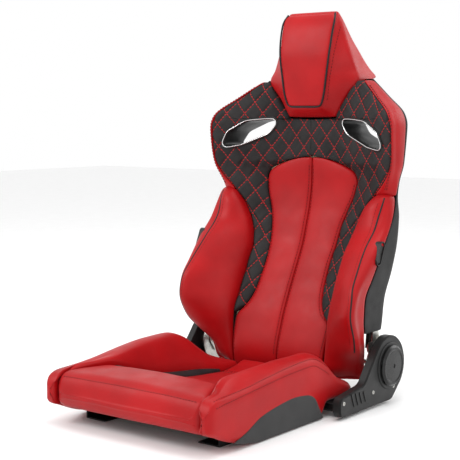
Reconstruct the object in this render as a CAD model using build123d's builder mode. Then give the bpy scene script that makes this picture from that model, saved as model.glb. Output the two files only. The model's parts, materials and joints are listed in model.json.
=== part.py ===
"""Reclining racing seat: cushion, double recliner, fold-forward backrest and release levers.

Frame: origin at the centre of the four base bolts on the underside, +Z up.
The occupant faces -Y, and +X is the occupant's left. All lengths are in millimetres.
"""

import os

from build123d import *

os.makedirs("parts", exist_ok=True)

# ---------------------------------------------------------------- driving dimensions

GAP = 0.3                      # clearance between neighbouring soft pieces
COVER = 12.0                   # thickness of a cover with its bonded foam

# base bolts
BOLT_SPACING_X = 310.0
BOLT_SPACING_Y = 330.0
BOLT_HOLE_R = 4.25
NUT_THREAD_R = 3.32            # M8 thread, minor radius

# rails
RAIL_WEB_X = 193.0
RAIL_INNER_X = 135.0
RAIL_HEIGHT = 32.0
RAIL_WALL = 3.0
RAIL_FRONT_Y = -232.0
RAIL_REAR_Y = 235.0

# cross tubes
TUBE_R = 9.0
TUBE_BORE_R = 5.05
TUBE_Z = 18.0
FRONT_TUBE_Y = -205.0
MID_TUBE_Y = 130.0
REAR_TUBE_Y = 213.0

# recliner axis and the stack of plates along it
AXIS_Y = 311.0
AXIS_Z = 91.5
SHAFT_R = 6.0
RUNNING = 0.06                 # radial clearance of a running fit
ARM_X = 241.0                  # inner face of the back arm
HUB_X = 246.0                  # inner face of the recliner hub
GEAR_X = 256.0                 # inner face of the fixed recliner disc
PLATE_X = 262.0                # inner face of the lower hinge plate
PLATE_T = 4.0
COVER_X = 282.0                # outer face of the moulded cover
COVER_WALL = 2.5
WHEEL_X = 286.0                # inner face of the hand wheel
WHEEL_T = 9.0
WHEEL_R = 49.0
DRUM_R = 56.0

# backrest frame
FRAME_R = 11.0
FRAME_X = ARM_X - FRAME_R

# release lever pockets in the backrest sides
POCKET_Y = 277.0
POCKET_Z = 362.0
POCKET_TILT = 24.0             # degrees from vertical, in the side view
POCKET_X = 274.0
POCKET_DEPTH = 15.0
POCKET_WIDTH = 22.0
POCKET_LENGTH = 60.0

SIDES = (("left", 1), ("right", -1))


# ---------------------------------------------------------------- helpers

def along(curve, position):
    """Straight-line value of a curve given as (position, value) pairs."""
    if position <= curve[0][0]:
        return curve[0][1]
    for (start, low), (end, high) in zip(curve, curve[1:]):
        if position <= end:
            return low + (high - low) * (position - start) / (end - start)
    return curve[-1][1]


def resample(points, levels):
    """The same curve with its knots on shared levels, so that neighbours meet without overlap."""
    return [(level, along(points, level)) for level in levels]


def between(levels, low, high, *extra):
    """Ordered levels from low to high, with any extra ones."""
    return sorted({low, high, *extra, *(level for level in levels if low < level < high)})


def stack(levels, section):
    """Solid through horizontal sections; section(z) gives the corner points (x, y)."""
    with BuildPart() as body:
        for level in levels:
            with BuildSketch(Plane.XY.offset(level)):
                with BuildLine():
                    Polyline(*section(level), close=True)
                make_face()
        loft(ruled=True)
    return body.part


def row(levels, section):
    """Solid through upright cross-sections; section(y) gives the corner points (x, z)."""
    with BuildPart() as body:
        for level in levels:
            with BuildSketch(Plane.XZ.offset(-level)):
                with BuildLine():
                    Polyline(*section(level), close=True)
                make_face()
        loft(ruled=True)
    return body.part


def save(part, name):
    part.label = name
    export_step(part, f"parts/{name}.step")


def save_pair(part, name):
    """Write a left-hand piece and its mirror image."""
    save(part, f"{name}_left")
    save(mirror(part, about=Plane.YZ), f"{name}_right")


def side_plane(x, y=0.0, z=0.0, turn=0.0):
    """Plane facing +X at x, with local x along +Y and local y along +Z, turned about +X."""
    return Plane(origin=(x, y, z), x_dir=(0, 1, 0), z_dir=(1, 0, 0)).rotated((turn, 0, 0))


# ---------------------------------------------------------------- shape curves of the backrest
# each curve gives a value for a height z

BACK_LEVELS = (92, 133, 167, 178, 204, 230, 249, 277, 318, 344, 378, 417, 457, 495, 527, 559, 568, 582,
               620, 662, 683, 730, 775, 800)


def back_curve(*points):
    return resample(points, BACK_LEVELS)


CENTRE_Y = back_curve((92, 236), (178, 260), (249, 292), (318, 328), (367, 352), (417, 368),
                      (457, 380), (527, 390), (800, 392))
PANEL_X = back_curve((92, 136), (178, 143), (204, 117), (249, 101), (318, 97), (367, 101),
                     (417, 108), (457, 121), (495, 135), (527, 138), (568, 73), (582, 0))
SEAM_X = back_curve((92, 138), (178, 146), (261, 144), (344, 144), (378, 151), (417, 164),
                    (457, 184), (495, 214), (559, 264), (662, 269), (683, 261), (730, 204), (775, 144))
SEAM_Y = back_curve((92, 240), (178, 249), (261, 285), (344, 328), (378, 344), (417, 355),
                    (457, 351), (495, 344), (559, 329), (662, 318), (683, 320), (730, 358), (775, 394))
RIDGE_X = back_curve((92, 205), (133, 228), (178, 245), (249, 251), (318, 243), (378, 238),
                     (430, 238), (495, 246))
RIDGE_Y = back_curve((92, 275), (133, 245), (178, 206), (230, 185), (277, 195), (318, 223),
                     (378, 272), (417, 308), (457, 328), (495, 341))
SIDE_X = back_curve((92, 226), (133, 237), (178, 252), (249, 257), (318, 267), (378, 271), (440, 268),
                    (495, 256), (527, 258), (568, 270), (662, 274), (690, 266), (730, 215), (775, 158))
EDGE_Y = back_curve((92, 292), (133, 276), (167, 252), (204, 241), (257, 240), (302, 259), (344, 281),
                    (378, 300), (439, 343), (483, 371), (559, 384), (662, 388), (775, 424))
REAR_SIDE_Y = back_curve((92, 318), (147, 332), (244, 338), (315, 355), (410, 378), (482, 392),
                         (602, 402), (690, 412), (775, 440))
REAR_Y = back_curve((92, 336), (150, 352), (250, 386), (400, 434), (540, 468), (690, 496), (775, 508))
HEAD_X = back_curve((662, 70), (678, 70), (724, 98), (775, 137))
SPINE_X = 79.0                 # half width of the flat middle of the upper back


def bend_x(z):
    """Where the front surface starts to turn forward."""
    return max(along(PANEL_X, z), min(SPINE_X, along(SEAM_X, z) - 5))


def front_y(x, z):
    """Front surface of the backrest between the centre and the bolster or shoulder seam."""
    panel = bend_x(z)
    seam = along(SEAM_X, z)
    if x <= panel:
        return along(CENTRE_Y, z)
    slope = (along(SEAM_Y, z) - along(CENTRE_Y, z)) / (seam - panel)
    return along(CENTRE_Y, z) + slope * (min(x, seam) - panel)


# ---------------------------------------------------------------- base structure

with BuildPart() as rail:
    with BuildSketch(Plane.XZ.offset(-RAIL_REAR_Y)):
        with BuildLine():
            Polyline(
                (RAIL_INNER_X, 0),
                (RAIL_WEB_X, 0),
                (RAIL_WEB_X, RAIL_HEIGHT),
                (RAIL_WEB_X - 18, RAIL_HEIGHT),
                (RAIL_WEB_X - 18, RAIL_HEIGHT - RAIL_WALL),
                (RAIL_WEB_X - RAIL_WALL, RAIL_HEIGHT - RAIL_WALL),
                (RAIL_WEB_X - RAIL_WALL, RAIL_WALL),
                (RAIL_INNER_X, RAIL_WALL),
                close=True,
            )
        make_face()
    extrude(amount=RAIL_REAR_Y - RAIL_FRONT_Y)
    with Locations((BOLT_SPACING_X / 2, -BOLT_SPACING_Y / 2, 0), (BOLT_SPACING_X / 2, BOLT_SPACING_Y / 2, 0)):
        Cylinder(BOLT_HOLE_R, 4 * RAIL_WALL, mode=Mode.SUBTRACT)
    for tube_y in (MID_TUBE_Y, REAR_TUBE_Y):
        with BuildSketch(side_plane(RAIL_WEB_X - 2 * RAIL_WALL, tube_y, TUBE_Z)):
            Circle(TUBE_R + RUNNING)
        extrude(amount=3 * RAIL_WALL, mode=Mode.SUBTRACT)
save_pair(rail.part, "side_rail")

with BuildPart() as weld_nuts:
    with BuildSketch(Plane.XY.offset(RAIL_WALL)):
        with GridLocations(BOLT_SPACING_X, BOLT_SPACING_Y, 2, 2):
            Rectangle(16, 16)
            Circle(NUT_THREAD_R, mode=Mode.SUBTRACT)
    extrude(amount=6.5)
    chamfer(weld_nuts.faces().sort_by(Axis.Z)[-4:].edges().filter_by(GeomType.LINE), length=1.0)
save(weld_nuts.part, "weld_nuts")


def cross_tube(y, half_length):
    with BuildPart() as tube:
        with BuildSketch(side_plane(-half_length, y, TUBE_Z)):
            Circle(TUBE_R)
            Circle(TUBE_BORE_R, mode=Mode.SUBTRACT)
        extrude(amount=2 * half_length)
    return tube.part


save(cross_tube(FRONT_TUBE_Y, RAIL_WEB_X - RAIL_WALL), "front_cross_tube")
save(cross_tube(MID_TUBE_Y, PLATE_X), "middle_cross_tube")
save(cross_tube(REAR_TUBE_Y, PLATE_X), "rear_cross_tube")


def wavy_wire(points, bend_r, wire_r, plane):
    """Sinuous spring wire in a plane, through square-wave corner points."""
    with BuildPart() as wire:
        with BuildLine(plane):
            route = FilletPolyline(*points, radius=bend_r)
        with BuildSketch(Plane(origin=route @ 0, z_dir=route % 0)):
            Circle(wire_r)
        sweep()
    return wire.part


def square_wave(start, end, pitch, width, centre):
    """Corner points of a square wave from start to end, across a centre line."""
    points = [(centre, start)]
    count = int((end - start) / pitch) - 1
    first = start + ((end - start) - (count - 1) * pitch) / 2
    side = 1
    for index in range(count):
        level = first + index * pitch
        if index == 0:
            points.append((centre, level))
        else:
            points.append((centre - side * width / 2, level))
        if index == count - 1:
            points.append((centre, level))
        else:
            points.append((centre + side * width / 2, level))
        side = -side
    points.append((centre, end))
    return points


SPRING_R = 1.9
SPRING_Z = TUBE_Z + TUBE_R + SPRING_R + 0.2
with BuildPart() as seat_springs:
    for spring_x in (-112, -56, 0, 56, 112):
        corners = square_wave(FRONT_TUBE_Y - 4, REAR_TUBE_Y + 4, 26, 36, spring_x)
        add(wavy_wire(corners, 8, SPRING_R, Plane.XY.offset(SPRING_Z)))
save(seat_springs.part, "seat_springs")

PAN_Z = 36.6
with BuildPart() as front_pan:
    with BuildSketch(Plane.XY.offset(PAN_Z)):
        with Locations((0, -238)):
            RectangleRounded(372, 84, 12)
        with Locations((0, -238)):
            with GridLocations(88, 0, 4, 1):
                SlotOverall(60, 34, mode=Mode.SUBTRACT)
    extrude(amount=2.5)
    with BuildSketch(Plane.XY.offset(RAIL_HEIGHT)):
        with Locations((RAIL_WEB_X - 10, -216), (-RAIL_WEB_X + 10, -216)):
            Rectangle(14, 26)
    extrude(amount=PAN_Z - RAIL_HEIGHT)
save(front_pan.part, "front_pan")

# ---------------------------------------------------------------- cushion
# each curve gives a value for a depth y

SEAT_LEVELS = (-318, -312, -303, -295, -285, -250, -241, -230, -197, -175, -148, -120, -80, -39, 0, 60,
               90, 100, 130, 143, 160, 206)


def seat_curve(*points):
    return resample(points, SEAT_LEVELS)


SEAT_TOP = seat_curve((-312, 96), (-303, 110), (-285, 117), (-230, 121), (-197, 121), (-175, 116),
                      (-120, 92), (-60, 74), (0, 65), (60, 61), (143, 56), (206, 52))
ROLL_X = seat_curve((-312, 203), (-295, 209), (-250, 192), (-175, 157))
INSERT_X = seat_curve((-175, 131), (-80, 118), (60, 98), (143, 95), (206, 95))
BOLSTER_X = seat_curve((-318, 206), (-295, 210), (-250, 193), (-175, 158), (-80, 146), (60, 122), (143, 100),
                       (206, 100))
CREST_X = seat_curve((-318, 218), (-285, 220), (-175, 186), (-60, 200), (60, 208), (143, 205), (206, 200))
CREST_Z = seat_curve((-318, 102), (-303, 116), (-250, 122), (-175, 138), (-100, 147), (0, 153), (60, 153),
                     (100, 138), (130, 112), (160, 84), (206, 62))
STITCH_Z = seat_curve((-318, 98), (-303, 110), (-250, 114), (-184, 120), (-113, 127), (-39, 133),
                      (47, 136), (90, 116), (122, 95), (160, 72), (206, 56))
SKIRT_Z = seat_curve((-318, 48), (-295, 40), (-241, 18), (-197, 8), (-148, 2), (90, 2), (100, 34), (206, 34))
CUSHION_SIDE_X = 235.5
SEAT_UNDER_Z = 40.0
FOAM_BOTTOM_Z = 31.0


def roll_section(y):
    half = along(ROLL_X, y) - GAP
    top = along(SEAT_TOP, y)
    bottom = max(SEAT_UNDER_Z, SEAT_UNDER_Z + (-298 - y) * 1.2)
    return [(-half, bottom), (half, bottom), (half, top - 4), (half - 30, top), (30 - half, top), (-half, top - 4)]


save(row(between(SEAT_LEVELS, -312, -175.3), roll_section), "thigh_roll")


def seat_section(y):
    half = along(INSERT_X, y) - GAP
    top = along(SEAT_TOP, y)
    return [(-half, top - COVER), (half, top - COVER), (half, top), (-half, top)]


save(row(between(SEAT_LEVELS, -174.7, 139.8), seat_section), "seat_panel")
save(row(between(SEAT_LEVELS, 140.4, 206), seat_section), "seat_rear_panel")


def insert_section(y):
    inner = along(INSERT_X, y)
    outer = along(BOLSTER_X, y) - GAP
    top = along(SEAT_TOP, y)
    rise = 0.12 * (along(CREST_Z, y) - top)
    return [(inner, top - COVER), (outer, top - COVER), (outer, top + rise), (inner, top)]


save_pair(row(between(SEAT_LEVELS, -174.7, 138), insert_section), "seat_insert")


def foam_section(y):
    half = along(BOLSTER_X, y) - 2 * GAP
    top = along(SEAT_TOP, y) - COVER - GAP
    return [(-half, FOAM_BOTTOM_Z), (half, FOAM_BOTTOM_Z), (half, top), (-half, top)]


save(row(between(SEAT_LEVELS, -174.7, 205), foam_section), "cushion_foam")


def bolster_section(y):
    inner = along(BOLSTER_X, y)
    top = along(SEAT_TOP, y)
    crest = along(CREST_Z, y)
    under = max(SEAT_UNDER_Z, along(SKIRT_Z, y))
    return [
        (inner, under + 0.5),
        (inner, top + 0.12 * (crest - top)),
        (along(CREST_X, y) - 16, crest),
        (along(CREST_X, y) + 4, crest),
        (CUSHION_SIDE_X, along(STITCH_Z, y)),
        (CUSHION_SIDE_X, along(SKIRT_Z, y)),
        (max(RAIL_WEB_X + 12, inner + 3), along(SKIRT_Z, y)),
        (max(RAIL_WEB_X + 12, inner + 3), under + 0.5),
    ]


save_pair(row(between(SEAT_LEVELS, -318, 195), bolster_section), "cushion_bolster")

with BuildPart() as side_skirt:
    with BuildSketch(side_plane(CUSHION_SIDE_X + GAP)):
        with BuildLine():
            Spline((-241, 18), (-197, 33), (-148, 55), (-83, 67), (-26, 72), (25, 68), (57, 55), (73, 29), (90, 3))
            Polyline((90, 3), (-148, 2), (-197, 8.5), (-241, 18))
        make_face()
    extrude(amount=2.2)
save_pair(side_skirt.part, "side_skirt")

# ---------------------------------------------------------------- fixed side of the recliners


def cover_outline(inset):
    """Side view of the moulded cover: a round head over the axis and a foot forward and down."""
    with BuildSketch() as outline:
        with Locations((AXIS_Y, AXIS_Z)):
            Circle(72)
        with BuildLine():
            FilletPolyline((92, 6), (92, 50), (196, 64), (256, 139), (AXIS_Y, AXIS_Z),
                           (357, 36), (324, 6), radius=(16, 16, 30, 1, 1, 12, 22), close=True)
        make_face()
        if inset:
            offset(amount=-inset, mode=Mode.REPLACE)
    return outline.sketch


SCREW_POINTS = ((108, 38), (236, 40), (330, 38))
BOLT_POINTS = ((MID_TUBE_Y, TUBE_Z), (REAR_TUBE_Y, TUBE_Z))

with BuildPart() as recliner_cover:
    for inset, top_x in ((0, COVER_X - 3.0), (1.4, COVER_X - 1.2), (3.2, COVER_X)):
        with BuildSketch(side_plane(PLATE_X)):
            add(cover_outline(inset))
        extrude(amount=top_x - PLATE_X)
    with BuildSketch(side_plane(PLATE_X - 1)):
        add(cover_outline(COVER_WALL))
    extrude(amount=COVER_X - COVER_WALL - PLATE_X, mode=Mode.SUBTRACT)
    with BuildSketch(side_plane(COVER_X - COVER_WALL)):
        with Locations((AXIS_Y, AXIS_Z)):
            Circle(DRUM_R)
    extrude(amount=COVER_WALL + 3.2)
    drum_rim = recliner_cover.faces().sort_by(Axis.X)[-1].edges()
    fillet(drum_rim, radius=2.0)
    with BuildSketch(side_plane(COVER_X - COVER_WALL)):
        with Locations(*SCREW_POINTS):
            Circle(7)
    extrude(amount=-(COVER_X - COVER_WALL - PLATE_X - PLATE_T))
    with BuildSketch(side_plane(COVER_X - 1.0)):
        with Locations(*SCREW_POINTS):
            Circle(5.4)
    extrude(amount=6, mode=Mode.SUBTRACT)
    with BuildSketch(side_plane(PLATE_X)):
        with Locations(*SCREW_POINTS):
            Circle(2.1)
    extrude(amount=30, mode=Mode.SUBTRACT)
    for rib in range(4):
        with BuildSketch(side_plane(COVER_X - 0.5)):
            with Locations((146 + 17 * rib, 38)):
                with Locations(Rotation(0, 0, -68)):
                    SlotOverall(34 - 2 * rib, 5)
        extrude(amount=2.3)
    with BuildSketch(side_plane(COVER_X - 6)):
        with Locations((AXIS_Y, AXIS_Z)):
            Circle(SHAFT_R + 0.5)
    extrude(amount=20, mode=Mode.SUBTRACT)
save_pair(recliner_cover.part, "recliner_cover")

with BuildPart() as lower_hinge_plate:
    with BuildSketch(side_plane(PLATE_X)):
        add(cover_outline(COVER_WALL + 0.5))
        with Locations((AXIS_Y, AXIS_Z)):
            Circle(SHAFT_R + RUNNING, mode=Mode.SUBTRACT)
        with Locations(*BOLT_POINTS):
            Circle(TUBE_BORE_R, mode=Mode.SUBTRACT)
        with Locations(*SCREW_POINTS):
            Circle(2.0, mode=Mode.SUBTRACT)
        with Locations((268, 62)):
            SlotOverall(52, 20, rotation=35, mode=Mode.SUBTRACT)
    extrude(amount=PLATE_T)
save_pair(lower_hinge_plate.part, "lower_hinge_plate")

with BuildPart() as recliner_gear:
    with BuildSketch(side_plane(GEAR_X, AXIS_Y, AXIS_Z)):
        Circle(40)
        Circle(SHAFT_R + RUNNING, mode=Mode.SUBTRACT)
    extrude(amount=PLATE_X - GEAR_X)
    with BuildSketch(side_plane(GEAR_X, AXIS_Y, AXIS_Z)):
        Circle(15 + RUNNING)
    extrude(amount=3.0, mode=Mode.SUBTRACT)
    with BuildSketch(side_plane(GEAR_X, AXIS_Y, AXIS_Z)):
        with PolarLocations(28, 6):
            Circle(3.5)
    extrude(amount=2.0, mode=Mode.SUBTRACT)
save_pair(recliner_gear.part, "recliner_gear")

BOLT_HEAD_X = PLATE_X + PLATE_T
with BuildPart() as hinge_bolts:
    with BuildSketch(side_plane(BOLT_HEAD_X)):
        with Locations(*BOLT_POINTS):
            RegularPolygon(8.5, 6)
    extrude(amount=5.5)
    chamfer(hinge_bolts.faces().sort_by(Axis.X)[-2:].edges(), length=0.8)
    with BuildSketch(side_plane(BOLT_HEAD_X)):
        with Locations(*BOLT_POINTS):
            Circle(TUBE_BORE_R - 0.05)
    extrude(amount=-26)
    mirror(about=Plane.YZ)
save(hinge_bolts.part, "hinge_bolts")

with BuildPart() as cover_screws:
    with BuildSketch(side_plane(COVER_X - 1.0)):
        with Locations(*SCREW_POINTS):
            Circle(4.6)
    extrude(amount=1.8)
    fillet(cover_screws.faces().sort_by(Axis.X)[-3:].edges(), radius=0.7)
    with BuildSketch(side_plane(COVER_X + 0.8)):
        with Locations(*SCREW_POINTS):
            RegularPolygon(2.2, 6)
    extrude(amount=-1.2, mode=Mode.SUBTRACT)
    with BuildSketch(side_plane(COVER_X - 1.0)):
        with Locations(*SCREW_POINTS):
            Circle(1.95)
    extrude(amount=-(COVER_X - 1.0 - PLATE_X - 0.5))
    mirror(about=Plane.YZ)
save(cover_screws.part, "cover_screws")

# ---------------------------------------------------------------- recliner hubs, shaft and hand wheels

with BuildPart() as recliner_hub:
    with BuildSketch(side_plane(HUB_X, AXIS_Y, AXIS_Z)):
        Circle(52)
        with Locations((18, 52)):
            Circle(15)
        with Locations((-34, 44)):
            Circle(14)
        Circle(SHAFT_R + RUNNING, mode=Mode.SUBTRACT)
    extrude(amount=PLATE_T)
    with BuildSketch(side_plane(HUB_X + PLATE_T, AXIS_Y, AXIS_Z)):
        Circle(37)
        Circle(SHAFT_R + RUNNING, mode=Mode.SUBTRACT)
    extrude(amount=GEAR_X - HUB_X - PLATE_T - 0.15)
    with BuildSketch(side_plane(GEAR_X - 0.15, AXIS_Y, AXIS_Z)):
        Circle(15)
        Circle(SHAFT_R + RUNNING, mode=Mode.SUBTRACT)
    extrude(amount=3.0)
    with BuildSketch(side_plane(HUB_X, AXIS_Y, AXIS_Z)):
        Circle(20)
        Circle(SHAFT_R + RUNNING, mode=Mode.SUBTRACT)
    extrude(amount=-(HUB_X - ARM_X))
save_pair(recliner_hub.part, "recliner_hub")

with BuildPart() as cross_shaft:
    with BuildSketch(side_plane(-WHEEL_X, AXIS_Y, AXIS_Z)):
        Circle(SHAFT_R)
    extrude(amount=2 * WHEEL_X)
save(cross_shaft.part, "cross_shaft")

with BuildPart() as hand_wheel:
    with BuildSketch(Plane(origin=(WHEEL_X, AXIS_Y, AXIS_Z), x_dir=(0, 1, 0), z_dir=(0, 0, 1))):
        with BuildLine():
            Polyline(
                (0, 0),
                (WHEEL_R - 2, 0),
                (WHEEL_R, -2),
                (WHEEL_R, -4.5),
                (WHEEL_R - 5, -WHEEL_T),
                (WHEEL_R - 9, -WHEEL_T),
                (WHEEL_R - 12, -WHEEL_T + 1.6),
                (5, -WHEEL_T + 0.8),
                (5, -WHEEL_T + 2.4),
                (0, -WHEEL_T + 2.4),
                close=True,
            )
        make_face()
    revolve(axis=Axis((WHEEL_X, AXIS_Y, AXIS_Z), (1, 0, 0)))
    fillet(hand_wheel.edges().filter_by(GeomType.CIRCLE).group_by(Axis.X)[-1], radius=0.6)
save_pair(hand_wheel.part, "hand_wheel")

# ---------------------------------------------------------------- backrest structure

with BuildPart() as back_arm:
    with BuildSketch(side_plane(ARM_X)):
        with BuildLine():
            Polyline((AXIS_Y - 12, AXIS_Z - 26), (AXIS_Y - 30, AXIS_Z), (AXIS_Y - 20, AXIS_Z + 60), (306, 252),
                     (308, 270), (314, 262), (316, 180), (AXIS_Y + 16, AXIS_Z + 50),
                     (AXIS_Y + 32, AXIS_Z), (AXIS_Y + 14, AXIS_Z - 26), close=True)
        make_face()
        with Locations((AXIS_Y, AXIS_Z)):
            Circle(20 + RUNNING, mode=Mode.SUBTRACT)
    extrude(amount=PLATE_T)
save_pair(back_arm.part, "back_arm")

with BuildPart() as back_frame:
    with BuildLine():
        frame_path = FilletPolyline(
            (FRAME_X, 303, 128),
            (FRAME_X, 326, 290),
            (206, 376, 440),
            (202, 402, 540),
            (62, 432, 592),
            (60, 434, 750),
            (46, 404, 862),
            (-46, 404, 862),
            (-60, 434, 750),
            (-62, 432, 592),
            (-202, 402, 540),
            (-206, 376, 440),
            (-FRAME_X, 326, 290),
            (-FRAME_X, 303, 128),
            radius=(60, 70, 30, 30, 60, 22, 22, 60, 30, 30, 70, 60),
        )
    with BuildSketch(Plane(origin=frame_path @ 0, z_dir=frame_path % 0)):
        Circle(FRAME_R)
        Circle(FRAME_R - 2, mode=Mode.SUBTRACT)
    sweep()
save(back_frame.part, "back_frame")

# bars between the frame's legs: the lower one is straight, the upper one bows round the foam
def cross_bar(points, bend_r):
    with BuildPart() as bar:
        with BuildLine():
            route = FilletPolyline(*points, radius=bend_r) if bend_r else Line(*points)
        with BuildSketch(Plane(origin=route @ 0, z_dir=route % 0)):
            Circle(7)
            Circle(5.2, mode=Mode.SUBTRACT)
        sweep()
    return bar.part


with BuildPart() as back_cross_bars:
    add(cross_bar(((-218.6, 309, 170), (218.6, 309, 170)), 0))
    add(cross_bar(((-192, 392, 470), (-140, 424, 470), (140, 424, 470), (192, 392, 470)), 30))
save(back_cross_bars.part, "back_cross_bars")

FOAM_T = 12.0
FOAM_GAP = 2.5                 # between the covers and the foam

# lumbar mat: wavy wires behind the foam, in planes that lean with the back
with BuildPart() as lumbar_springs:
    for wire_z in (225, 275, 325, 375):
        wire_y = along(CENTRE_Y, wire_z) + COVER + FOAM_T + 8
        lean = Plane(origin=(0, wire_y, wire_z), x_dir=(0, 0.45, 1), z_dir=(0, -1, 0.45))
        corners = square_wave(-196, 196, 34, 26, 0)
        add(wavy_wire(corners, 7, SPRING_R, lean))
save(lumbar_springs.part, "lumbar_springs")


def opening_outline(grow):
    """Leaf-shaped harness opening, wide towards the shoulder."""
    with BuildSketch() as outline:
        with BuildLine():
            FilletPolyline((92, 677), (178, 668), (224, 640), (243, 600), (190, 612), (122, 640),
                           radius=(9, 50, 25, 9, 40, 40), close=True)
        make_face()
        if grow:
            offset(amount=grow, mode=Mode.REPLACE)
    return outline.sketch


BEZEL_WALL = 4.5
OPENING_PLANE = Plane.XZ.offset(-560)
with BuildPart() as opening_cut:
    with BuildSketch(OPENING_PLANE):
        add(opening_outline(BEZEL_WALL + GAP))
    extrude(amount=330)


def cut_opening(solid):
    """Remove the harness opening and its bezel's room from a left-hand piece."""
    with BuildPart() as cut:
        add(solid)
        add(opening_cut.part, mode=Mode.SUBTRACT)
    return cut.part


def panel_section(z):
    inner = GAP / 2
    outer = along(PANEL_X, z) - GAP
    front = along(CENTRE_Y, z)
    return [(inner, front), (outer, front), (outer, front + COVER), (inner, front + COVER)]


save_pair(stack(between(BACK_LEVELS, 97, 579), panel_section), "back_panel")


def quilt_inner(z):
    if z < 582:
        return along(PANEL_X, z) + GAP
    return GAP / 2 if z < 677 else along(HEAD_X, z) + GAP


CROWN = 1.2                    # slight bulge across a quilted strip


def quilt_section(z):
    inner = quilt_inner(z)
    outer = along(SEAM_X, z) - GAP
    bend = max(bend_x(z), inner + 0.4 * (outer - inner)) if z < 582 else max(SPINE_X, inner + 4)
    bend = min(bend, outer - 4)
    corners = [(inner, front_y(inner, z)), (bend, front_y(bend, z) - CROWN), (outer, front_y(outer, z))]
    return corners + [(x, y + COVER) for x, y in reversed(corners)]


save_pair(cut_opening(stack(between(BACK_LEVELS, 192, 768, 676.5, 680), quilt_section)), "quilted_panel")


def band_section(z):
    seam = along(SEAM_X, z)
    side = along(SIDE_X, z)
    front = along(SEAM_Y, z)
    edge = along(EDGE_Y, z) - GAP
    return [
        (seam, front),
        (seam + 0.7 * (side - seam), front + 6),
        (side, front + 20),
        (side, edge),
        (side - COVER, edge),
        (side - COVER, front + 24),
        (seam, front + COVER),
    ]


save_pair(cut_opening(stack(between(BACK_LEVELS, 495.5, 768), band_section)), "shoulder_band")


def bolster_levels(z):
    seam = along(SEAM_X, z)
    side = along(SIDE_X, z)
    ridge_x = along(RIDGE_X, z)
    ridge_y = along(RIDGE_Y, z)
    edge = along(EDGE_Y, z) - GAP
    return [
        (seam, along(SEAM_Y, z)),
        (ridge_x - 24, ridge_y + 9),
        (ridge_x, ridge_y),
        (side, 0.7 * ridge_y + 0.3 * edge),
        (side, edge),
        (side - COVER, edge),
        (seam + 12, along(SEAM_Y, z) + COVER),
        (seam, along(SEAM_Y, z) + COVER),
    ]


back_bolster = stack(between(BACK_LEVELS, 133, 494.5), bolster_levels)

# ---------------------------------------------------------------- release levers in their pockets

POCKET = side_plane(POCKET_X, POCKET_Y, POCKET_Z, -POCKET_TILT)
POCKET_FLOOR = side_plane(POCKET_X - POCKET_DEPTH, POCKET_Y, POCKET_Z, -POCKET_TILT)

with BuildPart() as pocket_room:
    with BuildSketch(POCKET_FLOOR):
        SlotOverall(POCKET_LENGTH + 2 * GAP, POCKET_WIDTH + 2 * GAP, rotation=90)
    extrude(amount=2 * POCKET_DEPTH)

with BuildPart() as lever_pocket:
    with BuildSketch(POCKET_FLOOR):
        SlotOverall(POCKET_LENGTH, POCKET_WIDTH, rotation=90)
    extrude(amount=POCKET_DEPTH)
    with BuildSketch(POCKET):
        SlotOverall(POCKET_LENGTH - 5, POCKET_WIDTH - 5, rotation=90)
    extrude(amount=-(POCKET_DEPTH - 2.5), mode=Mode.SUBTRACT)
save_pair(lever_pocket.part, "lever_pocket")

PIVOT_RISE = 17.0              # from the pocket's centre up to the lever's pin
PIVOT_DEPTH = 6.0
LEVER_WIDTH = 14.0
lever_frame = Plane(POCKET.location * Location((0, PIVOT_RISE, -PIVOT_DEPTH)))
lever_side = Plane(origin=lever_frame.origin, x_dir=lever_frame.y_dir, z_dir=lever_frame.x_dir)

with BuildPart() as release_lever:
    with BuildSketch(lever_side.offset(-LEVER_WIDTH / 2)):
        with BuildLine():
            Polyline((3.5, 3), (3.5, -3), (-3, -3.5), (-20, -1.5), (-38, 1), (-40, 3.5), (-36, 4.5), (-18, 3),
                     (-3, 3.5), close=True)
        make_face()
    extrude(amount=LEVER_WIDTH)
    with BuildSketch(lever_side.offset(-LEVER_WIDTH / 2)):
        Circle(1.5 + RUNNING)
    extrude(amount=LEVER_WIDTH, mode=Mode.SUBTRACT)
save_pair(release_lever.part, "release_lever")

with BuildPart() as lever_pins:
    with BuildSketch(lever_side.offset(-(POCKET_WIDTH - 5) / 2)):
        Circle(1.5)
    extrude(amount=POCKET_WIDTH - 5)
    mirror(about=Plane.YZ)
save(lever_pins.part, "lever_pins")

PIPING_R = 2.2


def piping(points, radii, wire_r):
    with BuildPart() as cord:
        with BuildLine():
            route = FilletPolyline(*points, radius=radii)
        with BuildSketch(Plane(origin=route @ 0, z_dir=route % 0)):
            Circle(wire_r)
        sweep()
    return cord.part


ridge_route = [(along(RIDGE_X, z) + 1.5, along(RIDGE_Y, z) - 1.0, z) for z in (140, 178, 230, 277, 318, 378, 417, 488)]
ridge_radii = (60, 60, 60, 90, 120, 120)
save_pair(piping(ridge_route, ridge_radii, PIPING_R), "bolster_piping")

with BuildPart() as bolster_shell:
    add(back_bolster)
    add(pocket_room.part, mode=Mode.SUBTRACT)
    add(piping(ridge_route, ridge_radii, PIPING_R + GAP), mode=Mode.SUBTRACT)
save_pair(bolster_shell.part, "back_bolster")

# ---------------------------------------------------------------- foam, shell, headrest


def back_foam_section(z):
    half = min(along(SEAM_X, z), along(SIDE_X, z) - COVER) - 1.2
    bend = bend_x(z)
    front = [(-half, front_y(half, z)), (-bend, front_y(bend, z)), (bend, front_y(bend, z)), (half, front_y(half, z))]
    front = [(x, y + COVER + FOAM_GAP) for x, y in front]
    return front + [(x, y + FOAM_T) for x, y in reversed(front)]


back_foam = stack(between(BACK_LEVELS, 104, 588), back_foam_section)
save(back_foam, "back_foam")

SHELL_T = 3.5


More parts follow.
